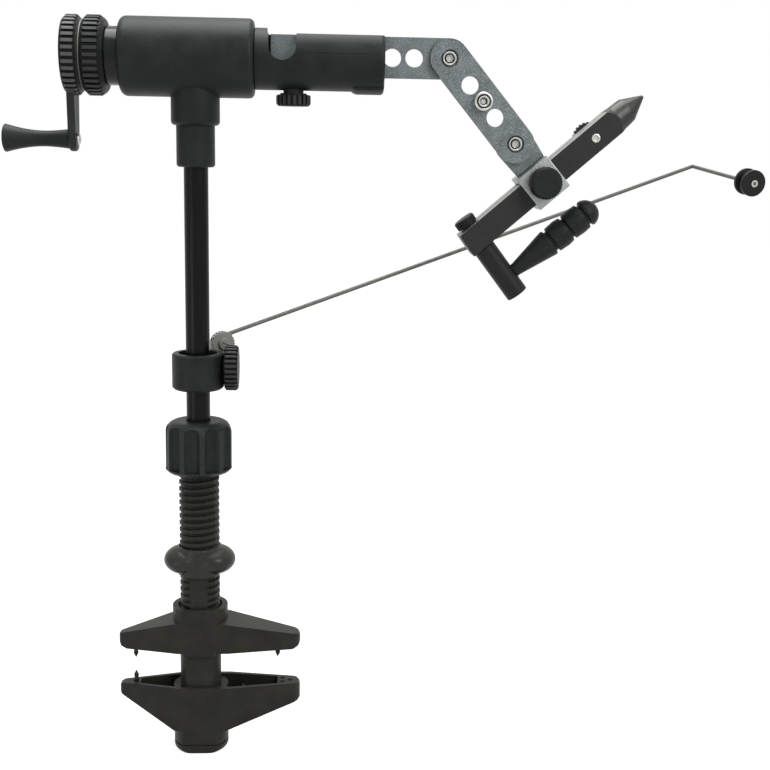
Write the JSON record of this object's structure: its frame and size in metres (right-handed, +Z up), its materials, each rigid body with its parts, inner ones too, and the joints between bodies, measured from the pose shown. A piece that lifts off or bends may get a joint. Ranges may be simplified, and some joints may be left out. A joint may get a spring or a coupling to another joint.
{
  "type": "fly tying vise",
  "caption": "Rotary vise on a table clamp: cranked spindle in a barrel on a post, offset link, angled cam-lever hook jaws and a wire cradle.",
  "frame": {"origin": "on the post axis, in the rim plane of the lower clamp jaw, where the underside of the table rests", "axes": "+Z up along the post; +X along the spindle from the crank to the hook jaws; +Y to the back, away from the user"},
  "size_m": [0.3366, 0.1321, 0.3137],
  "materials": {
    "black_plastic": "moulded glass-filled nylon, satin black",
    "clamp_plastic": "moulded nylon, brownish black",
    "grey_plastic": "moulded acetal, dark grey",
    "steel_plate": "tumbled steel with fine grain",
    "wire_steel": "drawn stainless wire",
    "bright_screws": "bright plated screws",
    "block_steel": "machined steel",
    "jaw_steel": "black-oxidised tool steel, ground tip",
    "post_coat": "black-oxidised steel rod with gloss",
    "wheel_rubber": "black rubber"
  },
  "bodies": {
    "clamp_base": {"clamp_tube": "clamp_plastic", "lower_jaw": "clamp_plastic", "end_cap": "clamp_plastic", "lower_spike": "steel_plate"},
    "upper_clamp": {"upper_jaw": "clamp_plastic", "upper_spikes": "steel_plate"},
    "wing": {"wing_nut": "clamp_plastic"},
    "collet_slide": {"collet": "grey_plastic"},
    "collet_hand_nut": {"collet_nut": "black_plastic"},
    "post_slide": {"post_foot": "grey_plastic"},
    "stem": {"post": "post_coat", "barrel": "black_plastic", "neck_bush": "grey_plastic", "front_bush": "grey_plastic", "barrel_screw": "steel_plate"},
    "rotor": {"spindle": "steel_plate", "crank": "black_plastic", "friction_washer": "grey_plastic", "handle_screw": "bright_screws", "head_tube": "black_plastic"},
    "handle": {"crank_handle": "black_plastic"},
    "drag": {"drag_nut": "black_plastic"},
    "head_screw": {"head_thumbscrew": "black_plastic"},
    "plate": {"offset_plate": "steel_plate"},
    "swing_link": {"link": "steel_plate", "link_screws": "bright_screws", "link_cap_screw": "bright_screws"},
    "jaw_carrier": {"jaw_bracket": "steel_plate", "clamp_block": "block_steel"},
    "carrier_knob": {"block_knob": "black_plastic"},
    "jaw_bar": {"front_jaw": "jaw_steel", "adjusting_screw": "bright_screws"},
    "rear_jaw": {"back_jaw": "jaw_steel"},
    "gap_wheel": {"adjusting_wheel": "black_plastic"},
    "lever": {"cam_shaft": "jaw_steel", "cam_knob": "black_plastic", "lever_handle": "black_plastic"},
    "cradle_slide": {"cradle_liner": "grey_plastic"},
    "cradle": {"cradle_collar": "black_plastic", "arm_axle": "steel_plate"},
    "cradle_screw": {"cradle_knob": "black_plastic"},
    "cradle_arm": {"arm_holder": "grey_plastic", "cradle_wire": "wire_steel", "wheel_washers": "wire_steel"},
    "wheel": {"cradle_wheel": "wheel_rubber"}
  },
  "joints": [
    {"name": "upper_jaw_travel", "type": "slide", "parent": "clamp_base", "child": "upper_clamp", "axis": [0, 0, 1], "range_m": [-0.0045, 0.026]},
    {"name": "wing_nut_turn", "type": "hinge", "parent": "upper_clamp", "child": "wing", "pos_m": [0, 0, 0.0499], "axis": [0, 0, 1], "range_deg": [-542, 3122]},
    {"name": "collet_lift", "type": "slide", "parent": "clamp_base", "child": "collet_slide", "axis": [0, 0, 1], "range_m": [0, 0.003]},
    {"name": "collet_nut_turn", "type": "hinge", "parent": "collet_slide", "child": "collet_hand_nut", "pos_m": [0, 0, 0.096], "axis": [0, 0, 1], "range_deg": [-2, 362]},
    {"name": "post_height", "type": "slide", "parent": "clamp_base", "child": "post_slide", "axis": [0, 0, 1], "range_m": [-0.004, 0.05]},
    {"name": "post_swivel", "type": "hinge", "parent": "post_slide", "child": "stem", "pos_m": [0, 0, 0.032], "axis": [0, 0, 1], "continuous": true},
    {"name": "rotary_turn", "type": "hinge", "parent": "stem", "child": "rotor", "pos_m": [0, 0, 0.2674], "axis": [1, 0, 0], "continuous": true},
    {"name": "handle_spin", "type": "hinge", "parent": "rotor", "child": "handle", "pos_m": [-0.0507, 0, 0.2343], "axis": [1, 0, 0], "continuous": true},
    {"name": "drag_turn", "type": "hinge", "parent": "rotor", "child": "drag", "pos_m": [0, 0, 0.2674], "axis": [1, 0, 0], "range_deg": [-90, 90]},
    {"name": "head_screw_turn", "type": "hinge", "parent": "rotor", "child": "head_screw", "pos_m": [0.0397, 0, 0.2535], "axis": [0, 0, 1], "range_deg": [0, 360]},
    {"name": "plate_reach", "type": "slide", "parent": "rotor", "child": "plate", "axis": [1, 0, 0], "range_m": [0, 0.012]},
    {"name": "link_swing", "type": "hinge", "parent": "plate", "child": "swing_link", "pos_m": [0.1027, 0, 0.269], "axis": [0, 1, 0], "range_deg": [-70, 38]},
    {"name": "jaw_angle", "type": "hinge", "parent": "swing_link", "child": "jaw_carrier", "pos_m": [0.13073, 0, 0.23547], "axis": [0, 1, 0], "range_deg": [-40, 40]},
    {"name": "carrier_knob_turn", "type": "hinge", "parent": "jaw_carrier", "child": "carrier_knob", "pos_m": [0.14241, 0, 0.22006], "axis": [0, 1, 0], "range_deg": [-180, 180]},
    {"name": "jaw_shift", "type": "slide", "parent": "jaw_carrier", "child": "jaw_bar", "axis": [0.7547, 0, 0.6561], "range_m": [-0.006, 0.008]},
    {"name": "lever_swing", "type": "hinge", "parent": "jaw_bar", "child": "lever", "pos_m": [0.11615, 0, 0.19723], "axis": [-0.6088, 0, 0.7934], "range_deg": [0, 120]},
    {"name": "jaw_open", "type": "hinge", "parent": "jaw_bar", "child": "rear_jaw", "pos_m": [0.16362, 0, 0.23849], "axis": [-0.6561, 0, 0.7547], "range_deg": [-0.02, 0.7]},
    {"name": "gap_wheel_turn", "type": "hinge", "parent": "jaw_bar", "child": "gap_wheel", "pos_m": [0.16362, 0, 0.23849], "axis": [0, 1, 0], "range_deg": [-180, 180]},
    {"name": "cradle_height", "type": "slide", "parent": "stem", "child": "cradle_slide", "axis": [0, 0, 1], "range_m": [-0.005, 0.025]},
    {"name": "cradle_swivel", "type": "hinge", "parent": "cradle_slide", "child": "cradle", "pos_m": [0, 0, 0.1317], "axis": [0, 0, 1], "range_deg": [-8, 150]},
    {"name": "cradle_screw_turn", "type": "hinge", "parent": "cradle", "child": "cradle_screw", "pos_m": [0.01135, 0, 0.1406], "axis": [1, 0, 0], "range_deg": [-180, 180]},
    {"name": "arm_tilt", "type": "hinge", "parent": "cradle", "child": "cradle_arm", "pos_m": [0.01242, 0.00553, 0.1492], "axis": [-0.4067, 0.9135, 0], "range_deg": [-6, 12]},
    {"name": "wheel_spin", "type": "hinge", "parent": "cradle_arm", "child": "wheel", "pos_m": [0.25244, 0.06118, 0.22012], "axis": [0.2032, -0.9726, -0.1132], "continuous": true}
  ],
  "couplings": [
    {"joint": "wing_nut_turn", "follows": "upper_jaw_travel", "rad_per_m": 2094.4},
    {"joint": "collet_nut_turn", "follows": "collet_lift", "rad_per_m": 2094.4},
    {"joint": "jaw_open", "follows": "lever_swing", "ratio": 0.0054}
  ]
}
